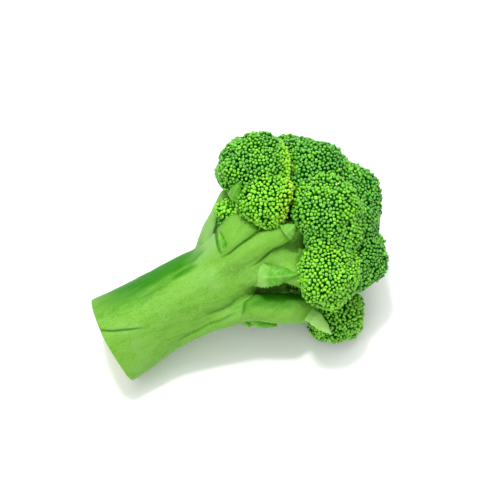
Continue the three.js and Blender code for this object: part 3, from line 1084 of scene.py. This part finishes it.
def stalk_mesh():
    """The stalk's solid with round branches, soft forks, marks on its skin and a crisp cut face."""
    facing = HEAD_TURN @ CUT_FACING
    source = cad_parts["stalk"].data.copy()
    for vertex in source.vertices:
        if abs((vertex.co - HEAD_ORIGIN).dot(facing)) < CUT_NEARNESS:
            vertex.co += facing * CUT_EXTENSION
    mesh = reshaped(source, STALK_VOXEL, STALK_SMOOTHING)
    refine_at_marks(mesh)
    moved = []
    for vertex, normal, crease in zip(mesh.vertices, normal_array(mesh), creases(mesh)):
        point = in_head(vertex.co)
        relief = stalk_relief(point) - facet_press(point) - CREASE_DEPTH * crease
        moved.append(vertex.co + Vector(normal) * (STALK_SWELL + relief * MM))
    for vertex, place in zip(mesh.vertices, moved):
        place.z = max(place.z, 0)
        vertex.co = place
    cut_points = cut_across(mesh)
    mesh.update()
    set_values(mesh, skin_values(mesh, cut_points))
    mesh.polygons.foreach_set("use_smooth", np.ones(len(mesh.polygons), dtype=bool))
    mesh.materials.clear()
    return mesh


# Leaves

def vein_height(share, line, half):
    """How much of a vein, from 0 to 1, lies at a share of the leaf's length and a line across it.
    The line runs from -1 at one edge to 1 at the other, and half is half the leaf's width there."""
    midrib = math.exp(-(line * half / MIDRIB_WIDTH) ** 2)
    across = (share * SIDE_VEINS - abs(line) * half * SIDE_VEIN_SLANT) % 1.0
    side_vein = math.exp(-((across - 0.5) / SIDE_VEIN_WIDTH) ** 2) * smoothstep(*SIDE_VEIN_END, abs(line))
    return max(midrib, SIDE_VEIN_SHARE * side_vein)


def leaf_point(layer, step, column):
    """The number of a leaf's point, on its lower side, layer 0, or its upper side, layer 1."""
    return (layer * (LEAF_STEPS + 1) + step) * (LEAF_LINES + 1) + column


def leaf_faces():
    """The faces of a leaf: its lower side, its upper side and the strip round its edge."""
    faces = []
    for step in range(LEAF_STEPS):
        for column in range(LEAF_LINES):
            low = [leaf_point(0, step, column), leaf_point(0, step + 1, column),
                   leaf_point(0, step + 1, column + 1), leaf_point(0, step, column + 1)]
            high = [corner + leaf_point(1, 0, 0) for corner in reversed(low)]
            faces.extend((low, high))
    rim = [(step, 0) for step in range(LEAF_STEPS)]
    rim += [(LEAF_STEPS, column) for column in range(LEAF_LINES)]
    rim += [(step, LEAF_LINES) for step in range(LEAF_STEPS, 0, -1)]
    rim += [(0, column) for column in range(LEAF_LINES, 0, -1)]
    for one, two in zip(rim, rim[1:] + rim[:1]):
        faces.append([leaf_point(0, *one), leaf_point(1, *one), leaf_point(1, *two), leaf_point(0, *two)])
    return np.array(faces)


def leaf_mesh(name, leaf, draw):
    """A thin arched leaf with a toothed edge, a midrib and side veins, rooted below the skin."""
    start = Vector(leaf.base)
    along = Vector(leaf.tip) - start
    out = Vector(leaf.face)
    out = (out - along * (out.dot(along) / along.length_squared)).normalized()
    side = along.normalized().cross(out)
    teeth = [[draw.uniform(*TOOTH_SIZES) for _ in range(TEETH + 1)] for _ in range(2)]
    phases = [draw.uniform(0, 1) for _ in range(2)]
    points = []
    veins = []
    paleness = []
    for layer in (0, 1):
        for step in range(LEAF_STEPS + 1):
            share = step / LEAF_STEPS
            shape = math.sin(math.pi * (leaf.cut + (1 - leaf.cut) * share)) ** LEAF_ROUNDNESS
            half = leaf.width / 2 * max(LEAF_TIP_WIDTH, shape)
            bow = leaf.arch * 4 * share * (1 - share)
            bow -= LEAF_ROOT * smoothstep(LEAF_ROOT_SHARE, 0, share)
            tooth, along_tooth = divmod(share * TEETH, 1.0)
            pale_base = leaf.pale_base * smoothstep(*LEAF_PALE_END, share)
            for column in range(LEAF_LINES + 1):
                line = 2 * column / LEAF_LINES - 1
                notch = teeth[line > 0][int(tooth)] * along_tooth
                edge = 1 - TOOTH_SIZE * notch * abs(line) ** TOOTH_POWER
                waves = math.sin(share * FRILL_WAVES + FRILL_SHIFT * phases[line > 0])
                vein = vein_height(share, line, half)
                lift = bow - LEAF_CUP * leaf.width * line ** 2 + FRILL * leaf.width * waves * line ** 2
                lift += layer * (LEAF_THICKNESS * (1 - LEAF_THINNING * line ** 2) + VEIN_RISE * vein)
                points.append(in_row(start + along * share + out * lift + side * (line * half * edge)))
                veins.append(vein * layer)
                paleness.append(min(1.0, leaf.paleness + pale_base))
    values = {"vein": np.array(veins), "paleness": np.array(paleness)}
    places = above_table(np.array([tuple(point) for point in points]))
    return mesh_of(name, places, [leaf_faces()], values)


# Stage

def aim(thing, target):
    """Turn a light or a camera to face a place."""
    way = target - thing.location
    thing.rotation_euler = way.to_track_quat("-Z", "Y").to_euler()


def area_light(name, offset, size, power):
    """A round light at an offset from the head's middle, facing it."""
    light = bpy.data.lights.new(name, "AREA")
    light.shape = "DISK"
    light.size = size
    light.energy = power
    lamp = new_object(name, light)
    centre = in_row(CAMERA_AIM)
    lamp.location = centre + Vector(offset)
    aim(lamp, centre)


def make_camera():
    """The camera, at the photo's angle."""
    camera = bpy.data.cameras.new("camera")
    camera.lens = CAMERA_LENS
    camera.sensor_width = CAMERA_SENSOR
    holder = new_object("camera", camera)
    back = Vector((
        math.sin(CAMERA_AZIMUTH) * math.cos(CAMERA_ELEVATION),
        -math.cos(CAMERA_AZIMUTH) * math.cos(CAMERA_ELEVATION),
        math.sin(CAMERA_ELEVATION),
    ))
    target = in_row(CAMERA_AIM)
    holder.location = target + back * CAMERA_DISTANCE
    aim(holder, target)
    bpy.context.scene.camera = holder


def make_floor():
    """A plain floor under the head."""
    shape = bmesh.new()
    bmesh.ops.create_grid(shape, x_segments=FLOOR_CELLS, y_segments=FLOOR_CELLS, size=FLOOR_SIZE)
    floor = new_object("floor", mesh_from(shape, "floor"))
    floor.data.materials.append(paper_material())


# Settings

def colour(name, description, default):
    """A setting that holds a colour."""
    return bpy.props.FloatVectorProperty(
        name=name, description=description, default=default, subtype="COLOR")


class CrownSettings(bpy.types.PropertyGroup):
    pitch: bpy.props.FloatProperty(
        name="Bud pitch", description="Distance from one bud to the next",
        default=1.72 * MM, min=1 * MM, unit="LENGTH", subtype="DISTANCE")
    dark: colour("Dark bud", "Colour of the youngest buds", (0.004, 0.168, 0.010))
    ripe: colour("Ripe bud", "Colour of the ripe buds", (0.225, 0.660, 0.002))
    yellow: colour(
        "Yellowing bud", "Colour of the ripest buds, at the edge of a floret", (0.360, 0.640, 0.020))
    # Painted highlight: the colour that the tops of the buds are painted towards
    tip: colour("Bud tip", "Colour that the tips of the buds turn to", (0.380, 0.900, 0.160))
    # Painted shade: the dark colour of the flesh between the buds and of each bud's foot
    gap: colour("Between buds", "Colour of the flesh between the buds", (0.001, 0.095, 0.000))
    # A lighter mottling of that painted shade
    light_gap_shade: colour(
        "Light between buds", "Lighter mottling of the flesh between the buds", (0.006, 0.190, 0.001))


class StalkSettings(bpy.types.PropertyGroup):
    skin: colour("Skin", "Colour of the stalk's skin", (0.125, 0.365, 0.012))
    skin_deep: colour("Deep skin", "Colour of the skin where it is darker", (0.075, 0.270, 0.003))
    skin_light: colour("Light skin", "Colour of the streaks and the mottling", (0.230, 0.480, 0.085))
    pale: colour("Pale skin", "Colour of the branches near the buds", (0.190, 0.465, 0.045))
    # Partly the skin's own deeper green and partly painted shade
    edge: colour(
        "Upper edge", "Colour along the stalk's upper edge and on the low branch", (0.022, 0.195, 0.000))
    waxy: colour(
        "Waxy skin", "Greyer colour of the left branch and of the bloom on the skin",
        (0.210, 0.430, 0.110))
    # Painted shade in the forks and the folds, and the scar's dark line
    crease: colour(
        "Crease", "Colour deep in the forks and in the marks on the skin", (0.013, 0.120, 0.001))
    flesh: colour("Flesh", "Colour of the cut face", (0.560, 0.720, 0.340))


class BractSettings(bpy.types.PropertyGroup):
    leaf: colour("Leaf", "Colour of the bract leaves", (0.110, 0.400, 0.006))
    leaf_deep: colour("Deep leaf", "Colour of the leaves where they are darker", (0.040, 0.240, 0.002))
    base: colour("Leaf base", "Colour of a leaf's base and veins", (0.420, 0.740, 0.200))


class StageSettings(bpy.types.PropertyGroup):
    key: bpy.props.FloatProperty(
        name="Key light", description="Power of the wide light high above the head",
        default=11.5, min=0.0, unit="POWER")
    glint: bpy.props.FloatProperty(
        name="Glint light", description="Power of the small light that makes the buds glint",
        default=9.0, min=0.0, unit="POWER")
    fill: bpy.props.FloatProperty(
        name="Fill light", description="Power of the widest light, on the camera's side",
        default=10.0, min=0.0, unit="POWER")
    sky: bpy.props.FloatProperty(
        name="Surroundings", description="Strength of the light from all round", default=0.5, min=0.0)


# Operators

def add_piece(name, mesh, materials, node=None):
    """A piece of the visual model, in its materials, in place of a node if one is named."""
    piece = new_object(name, mesh)
    for material in materials:
        piece.data.materials.append(material)
    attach(piece, "root")
    if node:
        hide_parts(node)


class MakeFlorets(bpy.types.Operator):
    """Cover each dome of the crown with buds"""
    bl_idname = "broccoli.make_florets"
    bl_label = "Florets"

    def execute(self, context):
        settings = context.scene.broccoli_crown
        materials = (gap_shade_material(settings), bud_material(settings))
        trees = {name: tree_of([name]) for name in FLORETS}
        for name, buds in grown_buds(settings, trees).items():
            mesh = bud_mesh(name, buds, floret_core(name, trees))
            add_piece(f"{name}_buds", mesh, materials, name)
        return {"FINISHED"}


class MakeSideFlorets(bpy.types.Operator):
    """Grow the small florets low on the branches"""
    bl_idname = "broccoli.make_side_florets"
    bl_label = "Side florets"

    def execute(self, context):
        settings = context.scene.broccoli_crown
        materials = (gap_shade_material(settings), bud_material(settings))
        rng = np.random.default_rng(SEED)
        draw = random.Random(SEED)
        for number, floret in enumerate(SIDE_FLORETS, start=1):
            name = f"side_floret_{number:02d}"
            core = side_core(floret)
            buds = side_buds(floret, core, settings.pitch, rng, draw)
            add_piece(name, bud_mesh(name, buds, core), materials)
        return {"FINISHED"}


class MakeStalk(bpy.types.Operator):
    """Give the stalk and its branches their skin"""
    bl_idname = "broccoli.make_stalk"
    bl_label = "Stalk"

    def execute(self, context):
        mesh = stalk_mesh()
        materials = [stalk_material(context.scene.broccoli_stalk)]
        add_piece("stalk_skin", mesh, materials, "stalk")
        return {"FINISHED"}


class MakeBracts(bpy.types.Operator):
    """Grow the bract leaves in the forks of the stalk, and the smaller leaves"""
    bl_idname = "broccoli.make_bracts"
    bl_label = "Bract leaves"

    def execute(self, context):
        materials = [bract_material(context.scene.broccoli_bracts)]
        draw = random.Random(SEED)
        for number, leaf in enumerate(BRACTS, start=1):
            node = f"bract_{number:02d}"
            add_piece(f"{node}_leaf", leaf_mesh(node, leaf, draw), materials, node)
        for number, leaf in enumerate(SMALL_LEAVES, start=1):
            name = f"small_leaf_{number:02d}"
            add_piece(name, leaf_mesh(name, leaf, draw), materials)
        return {"FINISHED"}


class MakeStage(bpy.types.Operator):
    """Set the floor, the lights and the camera"""
    bl_idname = "broccoli.make_stage"
    bl_label = "Stage"

    def execute(self, context):
        settings = context.scene.broccoli_stage
        context.scene.view_settings.view_transform = "Standard"
        make_camera()
        make_floor()
        area_light("key light", KEY_PLACE, KEY_SIZE, settings.key)
        area_light("glint light", GLINT_PLACE, GLINT_SIZE, settings.glint)
        area_light("fill light", FILL_PLACE, FILL_SIZE, settings.fill)
        world = bpy.data.worlds.new("white room")
        world.use_nodes = True
        background = world.node_tree.nodes["Background"]
        background.inputs["Color"].default_value = (1, 1, 1, 1)
        background.inputs["Strength"].default_value = settings.sky
        context.scene.world = world
        return {"FINISHED"}


class BroccoliPanel(bpy.types.Panel):
    bl_label = "Broccoli head"
    bl_idname = "VIEW3D_PT_broccoli"
    bl_space_type = "VIEW_3D"
    bl_region_type = "UI"
    bl_category = "Broccoli"

    def draw(self, context):
        sections = (
            ((MakeFlorets, MakeSideFlorets), context.scene.broccoli_crown),
            ((MakeStalk,), context.scene.broccoli_stalk),
            ((MakeBracts,), context.scene.broccoli_bracts),
            ((MakeStage,), context.scene.broccoli_stage),
        )
        for operators, settings in sections:
            section = self.layout.box()
            for operator in operators:
                section.operator(operator.bl_idname)
            for name in settings.__annotations__:
                section.prop(settings, name)


GROUPS = {
    "broccoli_crown": CrownSettings,
    "broccoli_stalk": StalkSettings,
    "broccoli_bracts": BractSettings,
    "broccoli_stage": StageSettings,
}
OPERATORS = (MakeFlorets, MakeStalk, MakeSideFlorets, MakeBracts, MakeStage)


def register():
    for name, group in GROUPS.items():
        bpy.utils.register_class(group)
        setattr(bpy.types.Scene, name, bpy.props.PointerProperty(type=group))
    for operator in OPERATORS:
        bpy.utils.register_class(operator)
    bpy.utils.register_class(BroccoliPanel)


def unregister():
    bpy.utils.unregister_class(BroccoliPanel)
    for operator in reversed(OPERATORS):
        bpy.utils.unregister_class(operator)
    for name, group in GROUPS.items():
        delattr(bpy.types.Scene, name)
        bpy.utils.unregister_class(group)


def main():
    register()
    bpy.ops.broccoli.make_florets()
    bpy.ops.broccoli.make_stalk()
    bpy.ops.broccoli.make_side_florets()
    bpy.ops.broccoli.make_bracts()
    bpy.ops.broccoli.make_stage()


if __name__ == "__main__":
    main()
